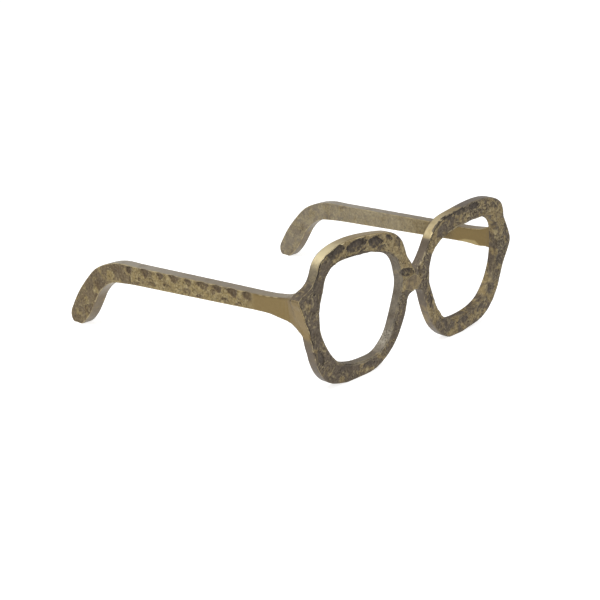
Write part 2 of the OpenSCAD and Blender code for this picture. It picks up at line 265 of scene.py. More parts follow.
def dented(x, z, side):
    """Level of the large dents' floors behind a rim's front, how far down its dent's wall each
    place is, and how dark it is painted: a stain, with painted shade under its upper rim."""
    level, sunk, stain = np.zeros_like(x), np.zeros_like(x), np.zeros_like(x)
    wander = fractal(zip(x, 0 * x, z), 4 * MM, finer=2.0)
    for mark in DENTS[side] + ([RECESS] if side < 0 else []):
        u, v, a, b, turn, deep = mark
        p, q = local(x, z, u, v, a, b, turn)
        way = np.arctan2(q, p)
        uneven = 0.3 if mark == RECESS else 0.11 if deep > LARGE_DEPTH else 0.2
        lobes = 1 + 0.06 * np.sin(3 * way + 5 * u) + 0.04 * np.sin(5 * way + 9 * v)
        r = np.hypot(p, q) * lobes + uneven * wander
        # the upper wall is steep, the lower one runs out gently
        upper = 0.5 + 0.5 * np.sin(way)
        tilt = np.clip(q, -1, 1)
        bowl = grown(1 - r, 0, 0.8 - 0.62 * upper)
        level = np.where(bowl > sunk, deep * MM * (0.7 + 0.3 * tilt), level)
        sunk = most(sunk, bowl)
        # a dent is stained all over, darker towards its top as painted shade, with a painted shadow
        # under its upper rim
        crevice = between(r, (0.8, 0.92), (1.02, 1.08)) * grown(np.sin(way), -0.6, 0.2)
        # darker towards the dent's top, painted shade
        fill = grown(1 - r, 0, 0.12 + 0.3 * (1 - upper)) * (0.62 + 0.24 * tilt + 0.35 * wander)
        darkened = most(fill, 1.6 * crevice) * min(1, 0.3 + 0.5 * deep)
        stain = most(stain, darkened * streak(x, z) if mark == RECESS else darkened)
    return level, sunk, stain


def marked(x, z, side):
    """How far each place is up a raised line, and how far into a small pit."""
    raised, pitted = np.zeros_like(x), np.zeros_like(x)
    for u, v, a, b, turn in RIDGES[side]:
        p, q = local(x, z, u, v, a, b, turn)
        q += 0.6 * np.sin(3.1 * p + 20 * u)
        raised = most(raised, grown(1 - np.abs(p), 0, 0.5) * grown(1 - np.abs(q), 0, 1))
    for u, v, a in PITS[side]:
        p, q = local(x, z, u, v, a, a, 0)
        pitted = most(pitted, grown(1.2 - np.hypot(p, q), 0, 0.7))
    return raised, pitted


def make_piece(name, mesh, values, flow=None):
    """A piece of the scene, with the values at each point that its material reads."""
    count = len(mesh.vertices)
    for key, value in values.items():
        data = mesh.attributes.new(key, "FLOAT", "POINT").data
        data.foreach_set("value", np.full(count, value, np.float32))
    if flow is not None:
        data = mesh.attributes.new("flow", "FLOAT_VECTOR", "POINT").data
        data.foreach_set("vector", flow.astype(np.float32).ravel())
    mesh.shade_smooth()
    mesh.update()
    return linked(name, mesh)


# The rims

STATIONS = 1300  # round a rim
ACROSS, DEEP, CORNER = 40, 14, 8  # across the front, through the thickness, on an edge
EDGE = 0.8 * MM  # rounding of a rim's edges
INNER_EDGE = {-1: 1.3 * MM, 1: 2.0 * MM}  # rounding at the front of the lens openings
RIM_LIP = {-1: 0.5 * MM, 1: 0.6 * MM}  # rounding of the front's outer edge, which is crisp
LUG_TIP = {-1: (101.6 * MM, 60 * MM), 1: (101.6 * MM, 51.3 * MM)}
POINT = {-1: 1.7 * MM, 1: 0.0}  # how far the left lug's tip is drawn out
POINT_REACH = 7 * MM  # the outline moves within this distance of the tip
DEEPEST = 1.1  # mm behind the front that the hammering levels off at
LIT_RIDGE_RISE = (0.03 * MM, 0.1 * MM)  # how far a ridge stands out that gets a painted highlight
SHADED_HOLLOW_DEPTH = (0.03 * MM, 0.12 * MM)  # how deep a hollow is that gets painted shade


def rim_section():
    """Points of a rim's section as a ring that starts on the front face at the outer edge: share
    of the way from the outer to the inner edge of the flat, steps in from the outline in edge
    roundings, depth in edge roundings, depth in flat thickness."""
    ring = [(k / ACROSS, 0, 0, 0) for k in range(1, ACROSS)]
    corner = [math.pi / 2 * k / CORNER for k in range(CORNER + 1)]
    ring += [(1, math.sin(t) - 1, 1 - math.cos(t), 0) for t in corner]
    ring += [(1, 0, 1, k / DEEP) for k in range(1, DEEP)]
    ring += [(1, math.cos(t) - 1, 1 + math.sin(t), 1) for t in corner]
    ring += [(k / DEEP, 0, 2, 1) for k in range(DEEP - 1, 0, -1)]
    ring += [(0, 1 - math.sin(t), 2 - (1 - math.cos(t)), 1) for t in corner]
    ring += [(0, 0, 1, k / DEEP) for k in range(DEEP - 1, 0, -1)]
    ring += [(0, 1 - math.cos(t), 1 - math.sin(t), 0) for t in corner]
    return np.array(ring, float)


def drawn_out(outline, side):
    """A rim's outline with the lug's tip drawn out to a sharper point."""
    tip = np.array([side * LUG_TIP[side][0], LUG_TIP[side][1]])
    pull = np.clip(1 - norm(outline - tip, axis=1) / POINT_REACH, 0, 1)
    pulled = outline.copy()
    pulled[:, 0] += side * POINT[side] * pull ** 1.3
    pulled[:, 1] -= 0.4 * POINT[side] * pull
    return pulled


def blurred(grid, along, across):
    """A grid of values round a rim, averaged over so many steps to either side."""
    total = sum(np.roll(grid, k, axis=0) for k in range(-along, along + 1)) / (2 * along + 1)
    padded = np.pad(total, ((0, 0), (across, across)), mode="edge")
    return sum(padded[:, k:k + grid.shape[1]] for k in range(2 * across + 1)) / (2 * across + 1)


def rim_outlines(side):
    """A rim's outer and inner outline, with a point for each station, the angle of each station
    from the lug's side up over the top, and that of the lug's tip, in degrees."""
    outer, inner = slice_loops(WORD[side] + "_rim", 0.85 * RIM_T)[:2]
    if np.ptp(outer[:, 0]) < np.ptp(inner[:, 0]):
        outer, inner = inner, outer
    centre = (inner.min(0) + inner.max(0)) / 2
    tip_x, tip_z = LUG_TIP[side]
    angles = np.linspace(-math.pi, math.pi, STATIONS, endpoint=False)
    exact = by_angle(outer, centre, angles)
    from_tip = norm(exact - [side * tip_x, tip_z], axis=1)
    blunt = grown(from_tip, 1 * MM, 6 * MM)[:, None]
    outer = drawn_out(smoothed(exact, 0.6) * (1 - blunt) + smoothed(exact, 2.5) * blunt, side)
    inner = smoothed(by_angle(inner, centre, angles), 8.0)
    around = np.degrees(np.arctan2(outer[:, 1] - centre[1], side * (outer[:, 0] - centre[0])))
    tip = math.degrees(math.atan2(tip_z - centre[1], tip_x - side * centre[0]))
    return outer, inner, around[:, None], tip


def rim_surface(side):
    """A rim before it is hammered: its places, and what each is part of, point by point over a
    grid of stations round the rim by points of its section. Depth behind the front and distance
    from the outlines are in mm."""
    outer, inner, around, tip = rim_outlines(side)
    share, steps, deep, flat = rim_section().T[:, None, :]
    width = norm(inner - outer, axis=1, keepdims=True)
    lead = (inner - outer) / width
    # where the wall was filed and the hammered front starts with a step down, edged with painted
    # highlight and shade
    filed = bump(around, 76, 58) if side < 0 else between(around, (86, 112), (142, 150))
    # the front's outer edge is rounded by the shoulder, its inner edge by its own radius, and the
    # edges at the back by the plain one, which is crisp where the temple's collar meets it
    shoulder = np.full_like(width, RIM_LIP[side])
    rear = EDGE * (1 - 0.97 * between(around - tip, (-44, -36), (5, 12)))
    lip = INNER_EDGE[side]
    in_front = flat == 0
    in_flat = (share > 0) & (share < 1)
    on_front = (deep == 0) & in_flat
    radius = np.where(share == 0, np.where(in_front, shoulder, rear), np.where(in_front, lip, EDGE))
    start = np.where(on_front, shoulder, EDGE)
    reach = width - start - np.where(on_front, lip, EDGE)
    offset = np.where(in_flat, start + share * reach, share * width + radius * steps)
    brim = np.broadcast_to(np.where(share == 0, shoulder, lip), offset.shape)
    y = np.where(in_front, brim * np.minimum(deep, 1), 0)
    on_wall = (deep == 1) & (flat > 0) & (flat < 1)
    y = np.where(on_wall, brim + flat * (RIM_T - EDGE - brim), y)
    y = np.where((deep >= 1) & (flat == 1), RIM_T - EDGE + EDGE * (deep - 1), y)
    y = np.where((share == 0) & (deep > 1) & (deep < 2), RIM_T - rear * (2 - deep), y)
    xz = outer[:, None, :] + lead[:, None, :] * offset[:, :, None]

    def each(values):
        return np.broadcast_to(values, offset.shape).ravel()

    def arc(middle, half):
        return bump(each(around), middle, half)

    return SimpleNamespace(
        side=side, tip=tip, arc=arc, shape=offset.shape, middle=(outer + inner) / 2,
        lead=np.repeat(lead, offset.shape[1], axis=0),
        x=xz[..., 0].ravel(), y=y.ravel(), z=xz[..., 1].ravel(),
        around=each(around), depth=y.ravel() / MM,
        from_outer=offset.ravel() / MM, from_inner=(width - offset).ravel() / MM,
        brim=brim.ravel(), filed=each(filed),
        front=each(on_front).astype(float), facing=each(in_front & (deep <= 1)),
        front_arc=each((deep > 0) & (deep < 1) & in_front),
        outward=each((share == 0) & ((deep <= 1) | (flat < 1))), inward=each(share == 1),
        behind=each(in_flat & (deep == 2)),
        mouth=each((share == 1) & (deep >= 0.2) & (deep <= 1)))


def loosened(rim):
    """Where the casting is crumbly: along the nose, and over and beside the right lens."""
    around, arc = rim.around, rim.arc
    if rim.side < 0:
        loose = grown(np.abs(around), 132, 150) * (1 - grown(rim.from_inner, 1.6, 2.8))
        loose *= 1 - grown(rim.depth, 0.9, 1.9)
    else:
        loose = grown(around, 100, 140) * (1 - grown(rim.from_outer, 1.5, 4))
        loose = most(loose, 0.8 * arc(70, 34) * rim.inland, 0.7 * arc(5, 46) * rim.inland)
    return loose * grown(np.abs(rim.x), 1 * MM, 4 * MM)


def mark_rim(rim):
    """Notes every mark on a rim: cast skin, dents, raised lines, pits and the filed facet."""
    arc, offset = rim.arc, rim.from_outer
    places = np.stack([rim.x, rim.y, rim.z], axis=1)
    rim.lump, rim.seam, rim.crumb = cast_skin(places, 5.0 * MM, 7.0 * MM)
    rim.inland = grown(np.minimum(offset, rim.from_inner), 0.3, 2.2)
    rim.loose = loosened(rim)
    rim.raised, rim.pitted = marked(rim.x, rim.z, rim.side)
    rim.facet = grown(within(rim.x, rim.z, FACET) + 0.8 * MM * rim.crumb, 0, 0.5 * MM)
    rim.level, sunk, stain = dented(rim.x, rim.z, rim.side)
    # the dents over the left lens bite into the edge, the others stop short of it
    rim.bite = arc(78, 46) ** 0.5 if rim.side < 0 else 0.6 * arc(125, 30)
    rim.stain = stain * most(grown(offset, 0.05, 0.35), rim.bite)
    rim.sunk = sunk * most(grown(offset, 0.2, 0.9), rim.bite) * (1 - rim.facet)


def rim_relief(rim):
    """How far the hammering has driven each place of a rim's front back."""
    fine = (0.17 + 0.3 * rim.loose) * rim.crumb - 0.36 * rim.seam
    lines = 0.35 * rim.pitted - 0.4 * rim.raised
    relief = (0.38 + 0.34 * rim.lump + rim.inland * (fine + lines)) * (1 - rim.facet)
    # below the lug's tip the edge is ragged
    ragged = rim.arc(rim.tip - 20, 24) * (1 - grown(rim.from_outer, 0.4, 2.2))
    relief += ragged * positive(0.35 + 0.45 * rim.crumb - 0.4 * rim.seam, 0.2)
    relief = positive(relief + 0.35 * rim.filed * rim.front, 0.22)
    relief *= grown(np.abs(rim.x), 0.5 * MM, 3 * MM)
    relief = (DEEPEST - positive(DEEPEST - relief, 0.2)) * MM
    relief = most(relief, 0.45 * MM * rim.facet)
    if rim.side > 0:
        p, q = local(rim.x, rim.z, *CREASE)
        crease = grown(1 - np.abs(p), 0, 0.3) * grown(1 - np.abs(q + 0.3 * np.sin(4 * p)), 0, 1)
        relief += 0.9 * MM * crease
    return relief


def hammer_rim(rim):
    """Drives a rim's front and the wall of its opening in, and notes where it is proud or sunk."""
    y, brim, level, sunk = rim.y, rim.brim, rim.level, rim.sunk
    fades_at = (brim + 0.2 * MM) * (1 - 0.9 * rim.filed)
    surface = y + rim_relief(rim) * (1 - grown(y, 0.02 * MM, fades_at))
    surface += sunk * most(level - surface, 0)
    surface += sunk * rim.inland * 0.1 * rim.crumb * MM
    # ridges get a painted highlight, hollows painted shade
    plain_front = surface.reshape(rim.shape)[:, :ACROSS - 1]
    proud = np.zeros(rim.shape)
    proud[:, :ACROSS - 1] = blurred(plain_front, 4, 4) - plain_front
    rim.ridge = grown(proud.ravel(), *LIT_RIDGE_RISE)
    rim.cavity = grown(-proud.ravel(), *SHADED_HOLLOW_DEPTH)
    top = brim + sunk * most(level - brim, 0)
    new_y = np.where(rim.facing, surface, top + (y - brim) * (RIM_T - top) / (RIM_T - brim))
    # the opening's wall is lumpy too, always into the metal
    lumps = positive(0.3 + 0.6 * rim.lump + 0.1 * rim.crumb - 0.15 * rim.seam, 0.2) * MM
    push = rim.lead * (rim.mouth * grown(RIM_T - y, 0, 2 * MM) * lumps)[:, None]
    rim.points = np.stack([rim.x - push[:, 0], FRONT_Y + np.minimum(new_y, RIM_T),
                           rim.z - push[:, 1]], axis=1)


def gold_band(around):
    """The stretch of the right rim's wall by the bridge, painted gold with a painted highlight over
    part of it.
    """
    return between(around, (92, 112), (139, 145))


def rim_gilding(rim):
    """How golden each place of a rim is, where its wall carries a painted highlight, and how pale
    grey
    the wall of its opening is: gold over the top and by the bridge, less down the sides."""
    around, arc = rim.around, rim.arc
    if rim.side < 0:
        golden = 0.1 + 0.62 * grown(around, 34, 74) * grown(rim.z, 0.48 * RIM_H, 0.6 * RIM_H)
        golden += 0.14 * arc(-80, 60)
        walls = 0.22 + 0.8 * arc(84, 58)
        # painted highlight on the upper left of the wall
        polish_and_highlight = arc(52, 26)
        pale = most(1.15 * arc(-132, 24), 0.4 * grown(np.abs(around), 130, 152),
                    0.35 * arc(-95, 40))
    else:
        golden = 0.2 + 0.35 * arc(40, 50) + 0.3 * arc(-30, 40) + 0.16 * arc(-90, 50)
        golden += 0.45 * (arc(-145, 30) + arc(142, 14))
        walls = 0.12 + 0.95 * gold_band(around) + 0.3 * arc(-145, 30)
        # painted highlight over part of the gold band
        polish_and_highlight = 0.55 * gold_band(around) * grown(around, 104, 128)
        pale = 0 * around
    walls += 0.9 * between(around - rim.tip, (-32, -20), (-3, 1))
    strip = rim.front * rim.filed * (1 - grown(rim.from_outer, 1.5, 4.5))
    golden = most(golden, rim.facet, strip)
    golden = np.where(rim.outward, walls, golden)
    golden = np.where(rim.inward, (0.9 if rim.side > 0 else 0.15) * golden, golden)
    golden = np.where(rim.behind, 0.34 + 0.25 * rim.lump, golden)
    return np.clip(golden, 0, 1), polish_and_highlight, pale


def rim_glint(rim, polish_and_highlight):
    """Painted highlight along the front's outer edge, and on the right rim's wall beside the
    bridge.
    """
    around, arc, tip = rim.around, rim.arc, rim.tip
    shine = 0.3 + 0.7 * polish_and_highlight + arc(tip + 8, 13)
    if rim.side < 0:
        shine += 0.8 * arc(tip - 34, 32)
        return rim.front_arc * (1 - 0.9 * arc(82, 40) ** 0.5) * np.clip(shine, 0, 1)
    shine = rim.front_arc * np.clip(shine + 0.5 * gold_band(around), 0, 1)
    by_bridge = rim.outward * (1 - grown(rim.depth, 0.6, 1.4)) * arc(159, 11)
    return most(shine, by_bridge)


def rim_stain_and_shade(rim, in_from):
    """How dark each place of a rim is painted: stain in the dents, and painted shade along the
    step, the groove by the lug and the dents' upper rims.
    """
    around, arc = rim.around, rim.arc
    # painted shade: a dark line at the foot of the filed step, and on the left rim in a groove by
    # the lug's tip
    foot = grown(rim.filed, 0, 0.35) * between(in_from, (0.5, 0.9), (1.3, 1.9))
    if rim.side < 0:
        foot *= 1 - grown(around, 56, 68)
        groove = between(in_from, (0.3, 0.7), (1.0, 1.6))
        foot = most(foot, 0.75 * groove * arc(rim.tip - 32, 30) ** 0.5)
    # painted shade where the dents bite into the front's outer edge
    on_lip = (rim.from_outer < 0.01) * (1 - grown(rim.depth - rim.brim / MM, 0.1, 0.5))
    lip_line = rim.bite * grown(rim.sunk, 0.05, 0.4) * on_lip
    darkened = most(rim.stain, 1.25 * foot * rim.front) * rim.facing
    darkened = most(darkened, 1.2 * lip_line) * (1 - rim.facet)
    if rim.side < 0:
        return most(darkened, 0.42 * rim.outward * arc(31, 24))
    # dark bites out of the front of the gold wall, painted shade
    wave = 0.5 + 2.2 * positive(rim.lump, 0.1)
    bitten = rim.outward * (1 - grown(rim.depth, wave, wave + 0.3))
    bitten *= arc(120, 26) ** 0.5
    return most(darkened, bitten * grown(rim.lump, -0.15, 0.15))


def rim_values(rim):
    """What the material reads at each place of a rim."""
    around, arc, clear = rim.around, rim.arc, 1 - rim.facet
    in_from = rim.from_outer + 0.7 * rim.lump
    golden, polish_and_highlight, pale = rim_gilding(rim)
    dent = rim_stain_and_shade(rim, in_from)
    strip = rim.front * grown(rim.filed, 0.1, 0.5) * (1 - grown(in_from, 0.7, 1.2))
    # painted highlight on the strip along the front's outer edge
    strip_shine = 0.75 * arc(76, 46) ** 0.5 if rim.side < 0 else 0.8 * polish_and_highlight
    lined = most(rim.front * rim.inland, 0.5 * rim.inward) * (1 - rim.sunk)
    smooth = (1 - rim.front) * (1 - 0.8 * rim.inward) + rim.facet + 0.8 * strip
    loose = rim.loose * (rim.front + 0.6 * rim.inward)
    if rim.side > 0:
        loose += 0.7 * rim.outward * arc(168, 14)
    # ridge and edge are painted highlights, cavity is painted shade, dent is stain with painted
    # shade
    return {"ridge": rim.ridge * clear * (1 - 0.6 * rim.sunk),
            "cavity": rim.cavity * clear,
            "dent": dent,
            "seam": most(rim.seam * 0.8, rim.raised) * lined,
            "golden": golden,
            "smooth": np.clip(smooth * (1 - grown(dent, 0.05, 0.3)), 0, 1),
            "edge": rim_glint(rim, polish_and_highlight) * (1 - dent),
            "polish_and_highlight": (most(polish_and_highlight * rim.outward, strip * strip_shine)
                         * np.clip(1 - dent, 0, 1)),
            "tan": 0.55 * rim.outward * between(around - rim.tip, (-40, -26), (-2, 1)),
            "pale": pale * rim.inward * (1 - rim.front),
            "loose": loose}


def hammered_rim(side):
    name = WORD[side] + "_rim"
    rim = rim_surface(side)
    mark_rim(rim)
    hammer_rim(rim)
    at = np.arange(rim.x.size).reshape(rim.shape)
    over = np.roll(at, -1, axis=1)
    faces = np.stack([at, over, np.roll(over, -1, axis=0), np.roll(at, -1, axis=0)], axis=-1)
    mesh = bpy.data.meshes.new(name + "_cast")
    mesh.from_pydata(rim.points.tolist(), [], faces.reshape(-1, 4).tolist())
    # along the bar, across it, and through it
    run = np.cumsum(norm(np.roll(rim.middle, -1, axis=0) - rim.middle, axis=1))
    flow = np.stack([np.repeat(run, rim.shape[1]),
                     rim.from_outer * MM + np.where(rim.inward, rim.y, 0), rim.y], axis=1)
    piece = make_piece(name + "_cast", mesh, rim_values(rim), flow)
    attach(piece, "root")
    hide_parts(name)
    return piece


# The temples

# Dents in a temple's outer side: place behind the front and drop below the top line, half length,
# half height (all mm) and how dark they are painted, stain and shade; the upper row is near where
# the solids have it
TEMPLE_DENTS = [
    (42.9, 2.6, 4.4, 3.3, 0.8), (55, 2.4, 4.2, 3.2, 1.05), (67, 2.4, 3.8, 2.8, 0.95),
    (79.2, 2.7, 5.2, 2.8, 0.7), (91.6, 3.2, 3.2, 2.6, 0.72), (103.8, 2.4, 4.5, 3.1, 0.85),
    (116, 2.8, 3.5, 2.3, 0.85), (129.2, 2.8, 3.4, 3.5, 1.05), (143.6, 3, 2.5, 3, 1.15),
    (156, 4.2, 5, 3.4, 0.6), (70.8, 5.2, 2.2, 1.9, 0.75), (92.3, 8.2, 3.8, 2.1, 0.5),
    (81.7, 10, 3.6, 1.6, 0.55), (61, 9, 3.2, 2, 0.55), (50, 10, 3.6, 2.2, 0.55),
    (110, 8.4, 3.4, 1.9, 0.45), (122.5, 9.4, 2.8, 1.8, 0.5), (133.5, 9, 3.6, 2.2, 0.45),
    (143, 9.6, 0.7, 3.2, 1.1), (172.9, 18, 5, 4, 0.6), (183.8, 38, 6, 4.6, 0.65),
    (176, 27, 3.4, 3, 0.45)]
TEMPLE_VOXEL = 0.4 * MM
TEMPLE_DENT_DEPTH = 0.4 * MM
# Under the right lug the temple's inner corner is dressed to a small facet, shown only by a painted
# highlight: places behind the front and heights of its corners in mm
LIT_CORNER = [(14, 44.2), (20.5, 48.6), (29, 48), (36, 45.6), (30, 42)]


def top_line(back):
    """Height of a temple's top line that far behind the rims' front, both in mm."""
    return 55.7 - 5.3 * np.clip(back - 31.7, 0, 200) / 110


def remeshed(name):
    """The node's solid as a closed mesh of even small faces."""
    copy = linked(name + "_base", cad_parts[name].data.copy())
    step = copy.modifiers.new("even", "REMESH")
    step.mode = "VOXEL"
    step.voxel_size = TEMPLE_VOXEL
    soft = copy.modifiers.new("soft", "SMOOTH")
    soft.factor, soft.iterations = 0.5, 4
    bpy.context.view_layer.update()
    remade = copy.evaluated_get(bpy.context.evaluated_depsgraph_get())
    mesh = bpy.data.meshes.new_from_object(remade)
    bpy.data.objects.remove(copy)
    return mesh


def per_vertex(mesh, key):
    """A vector of each vertex of a mesh, as rows."""
    rows = np.zeros(len(mesh.vertices) * 3)
    mesh.vertices.foreach_get(key, rows)
    return rows.reshape(-1, 3)


def temple_dents(back, height, lump):
    """How dark and how deep the hammer's dents are at each place of a temple's outer side: crisp
    above and fading out below: a stain, darker towards the top as painted shade, with a painted
    shadow under their upper edge."""
    dent, hollow = np.zeros_like(back), np.zeros_like(back)
    for y, drop, a, b, stained in TEMPLE_DENTS:
        p = (back - y) / a
        q = (height - top_line(y) + drop) / b
        way = np.arctan2(q, p)
        r = np.hypot(p, q) * (1 + 0.1 * np.sin(3 * way + y)) + 0.16 * lump
        under = between(r, (0.76, 0.92), (1.0, 1.1)) * grown(np.sin(way), -0.2, 0.6)
        body = grown(1 - r, 0, 0.24) * (0.66 + 0.22 * lump + 0.12 * np.clip(q, -1, 1))
        dent = most(dent, stained * most(body, 1.3 * under))
        bowl = grown(1 - r, 0, 0.62 - 0.22 * (1 + np.sin(way)))
        hollow = most(hollow, bowl * min(1, b / 3))
    return dent, hollow


def hammered_temple(side):
    name = WORD[side] + "_temple"
    mesh = remeshed(name)
    mesh.name = name + "_cast"
    co, normals = per_vertex(mesh, "co"), per_vertex(mesh, "normal")
    sideways = side * normals[:, 0]
    back = (co[:, 1] - FRONT_Y) / MM
    lump, seam, crumb = cast_skin(co, 2.6 * MM, 4.5 * MM)
    # the flared root is dressed smooth, and the hammering starts behind it
    rough = grown(back, 36, 44)
    outside = grown(sideways, 0.72, 0.93) * rough
    facing = grown(np.abs(sideways), 0.72, 0.93) * rough
    dent, hollow = temple_dents(back, co[:, 2] / MM, lump)
    dent, hollow = dent * outside, hollow * outside
    dip = facing * positive(0.2 + 0.12 * lump + 0.08 * crumb - 0.16 * seam, 0.05) * MM
    dip += TEMPLE_DENT_DEPTH * hollow + (1 - facing) * 0.03 * MM * np.clip(lump + 0.5, 0, 1)
    co -= normals * dip[:, None]
    mesh.vertices.foreach_set("co", co.ravel())

    high = grown(normals[:, 2], 0.5, 0.8)
    inside = grown(-sideways, 0.6, 0.9)
    front_end = 1 - grown(back, 40, 95)
    hook_end = grown(back, 120, 160)
    golden = 0.62 - 0.34 * hook_end - 0.3 * high - 0.25 * (1 - facing) * rough
    golden += ((0.25 + 0.35 * hook_end) * fractal(co, 6 * MM) + 0.12 * inside) * rough
    in_corner = grown(within(back * MM, co[:, 2], LIT_CORNER), -0.3 * MM, 0.5 * MM)
    lit = in_corner if side > 0 else 0 * back
    below = grown(-normals[:, 2], 0.35, 0.75) * grown(back, 130, 150)
    on_top = (0.35 + 0.35 * grown(back, 70, 140)) * high
    pale = most(on_top, 0.4 * below, 0.4 * inside * (1 - front_end))
    tan_inside = most(inside, high * (side > 0)) * front_end * (1 - 0.8 * lit)
    # the smooth root's outer side is tan, a colour darkened as painted shade
    tan_outside = (1 - rough) * grown(sideways, 0.2, 0.6)
    flat_side = most(np.abs(sideways), np.hypot(normals[:, 1], normals[:, 2]))
    # edge is a painted highlight along the temple's rounded edges
    values = {"dent": dent, "seam": 0.8 * seam * facing, "golden": np.clip(golden, 0, 1),
              "smooth": 1 - facing, "edge": 1 - grown(flat_side, 0.8, 0.95),
              "pale": pale, "tan": 0.75 * most(tan_inside, tan_outside),
              "loose": (0.34 * inside + 0.3 * outside) * grown(back, 60, 150),
              "lit": lit * inside}
    # along the bar, which turns down into the hook
    run = back * MM - 0.8 * co[:, 2] * grown(back, 150, 200)
    mesh.materials.clear()
    piece = make_piece(name + "_cast", mesh, values, np.stack([run, co[:, 2], co[:, 0]], axis=1))
    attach(piece, "root")
    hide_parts(name)
    return piece


# The brazed joints

def finished(name, mesh, values, replaced):
    """A dressed piece with the given surface values, in place of one node."""
    piece = make_piece(name, mesh, values)
    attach(piece, "root")
    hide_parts(replaced)
    return piece


def add_tube(bm, rings):
    """A closed solid over rings that have as many points."""
    rings = [[bm.verts.new(p) for p in ring] for ring in rings]
    for a, b in zip(rings, rings[1:]):
        for i in range(len(a)):
            bm.faces.new((a[i], a[i - 1], b[i - 1], b[i]))
    bm.faces.new(rings[-1])
    bm.faces.new(list(reversed(rings[0])))
    bmesh.ops.recalc_face_normals(bm, faces=bm.faces)


def to_mesh(name, bm):
    mesh = bpy.data.meshes.new(name)
    bm.to_mesh(mesh)
    bm.free()
    return mesh


FACET_STEPS = 16  # points along each side of the bridge's facet
FACET_DOME = 12  # rings over its nearly flat top
FACET_FOOT = 1.6  # mm behind the front that its braze starts


def dressed_bridge():
    """The braze across the bridge, filed to a facet on the front; its bead at the back stays."""
    bm = bmesh.new()
    bm.from_mesh(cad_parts["bridge_braze"].data)
    in_front = [v for v in bm.verts if v.co.y < FRONT_Y + RIM_T / 2]
    bmesh.ops.delete(bm, geom=in_front, context="VERTS")
    corners = np.array(FACET)
    after = np.roll(corners, -1, axis=0)
    sides = [a + (b - a) * k / FACET_STEPS
             for a, b in zip(corners, after) for k in range(FACET_STEPS)]
    outline = smoothed(np.array(sides), 2.0) * MM
    middle = outline.mean(0)
    ragged = 1 + 0.1 * fractal([(p[0], 0, p[1]) for p in outline], 1.7 * MM)
    outline = middle + (outline - middle) * ragged[:, None]
    rings = [[(p[0], FRONT_Y + FACET_FOOT * MM, p[1]) for p in outline]]
    # size of each further ring and its depth in mm: round the facet's edge, then over its flat,
    # which lies deeper towards the right rim
    round_edge = [(1.0, 0.45), (0.985, 0.2)]
    flat = [(0.96 - 0.08 * k, 0.02 - 0.006 * k) for k in range(FACET_DOME)]
    for size, depth in round_edge + flat:
        ring = middle + (outline - middle) * size
        rough = fractal([(p[0], 0, p[1]) for p in ring], 2.2 * MM)
        sink = 0.5 * MM * grown(ring[:, 0], 0.5 * MM, 7 * MM) * (depth < 0.4)
        y = FRONT_Y + depth * MM + sink + 0.05 * MM * rough
        rings.append(np.stack([ring[:, 0], y, ring[:, 1]], axis=1).tolist())
    add_tube(bm, rings)
    return finished("bridge_braze_dressed", to_mesh("bridge_braze_dressed", bm),
                    {"smooth": 0.3, "golden": 0.45}, "bridge_braze")


def swollen(loop, by):
    """A loop of (x, z) pushed outwards."""
    along = np.roll(loop, -1, axis=0) - np.roll(loop, 1, axis=0)
    out = np.stack([along[:, 1], -along[:, 0]], axis=1)
    out /= most(norm(out, axis=1, keepdims=True), 1e-9)
    if ((loop - loop.mean(0)) * out).sum() < 0:
        out = -out
    return loop + by * out


def nearest_on(line, point):
    """The nearest place to a point on a closed line of (x, z)."""
    a, b = line, np.roll(line, -1, axis=0)
    length = most(((b - a) ** 2).sum(1), 1e-12)
    along = np.clip(((point - a) * (b - a)).sum(1) / length, 0, 1)
    places = a + along[:, None] * (b - a)
    return places[norm(places - point, axis=1).argmin()]


LUG_ANGLES = np.linspace(-math.pi, math.pi, 120, endpoint=False)
# Depth behind the rim (mm) of the rings round a temple's root, and how far each is the temple's
# own outline and not the lug's
LUG_RINGS = [(0.6, 0.08), (1.3, 0.26), (2.4, 0.56), (3.8, 0.84), (5.4, 1)]
LUG_END = 6.6


def root_outline(node_name, back):
    """The outline of a solid that far (mm) behind the rims."""
    loop = max(slice_loops(node_name, RIM_T + back * MM), key=lambda points: np.ptp(points[:, 1]))
    return smoothed(by_angle(loop, (loop.min(0) + loop.max(0)) / 2, LUG_ANGLES), 0.8)


def dressed_lug(side):
    """The braze round a temple's root, dressed flush with the lug's outline and the temple."""
    word = WORD[side]
    rim = max(slice_loops(word + "_rim", 0.6 * RIM_T), key=lambda points: np.ptp(points[:, 0]))
    lug = drawn_out(rim, side)
    root = root_outline(word + "_lug_braze", 0.15)
    flush = root.copy()
    for i, point in enumerate(root):
        near = nearest_on(lug, point)
        gap = norm(near - point)
        flush[i] = point + (near - point) * (1 - grown(gap, 1.6 * MM, 3.2 * MM))
    flush = smoothed(flush, 0.5)
    rings = [(-1.2, swollen(flush, -0.05 * MM)), (-0.05, swollen(flush, 0.01 * MM))]
    for back, share in LUG_RINGS:
        solid = "_lug_braze" if back < 1.5 else "_temple"
        widened = swollen(root_outline(word + solid, back), 0.05 * MM)
        rings.append((back, widened + (flush - root) * (1 - share)))
    rings.append((LUG_END, swollen(root_outline(word + "_temple", LUG_END), -0.3 * MM)))
    bm = bmesh.new()
    add_tube(bm, [[(x, FRONT_Y + RIM_T + y * MM, z) for x, z in ring] for y, ring in rings])
    mesh = to_mesh(word + "_lug_braze_dressed", bm)
    inside = np.array([-side * v.normal.x > 0.5 for v in mesh.vertices], np.float32)
    values = {"smooth": 1.0, "golden": 0.8 - 0.1 * inside, "tan": 0.55 + 0.2 * inside}
    return finished(word + "_lug_braze_dressed", mesh, values, word + "_lug_braze")


# Materials

def rgba(r, g, b):
    """A colour written as it looks on screen, 0 to 255."""
    def linear(c):
        c /= 255
        return c / 12.92 if c <= 0.04045 else ((c + 0.055) / 1.055) ** 2.4
    return (linear(r), linear(g), linear(b), 1.0)


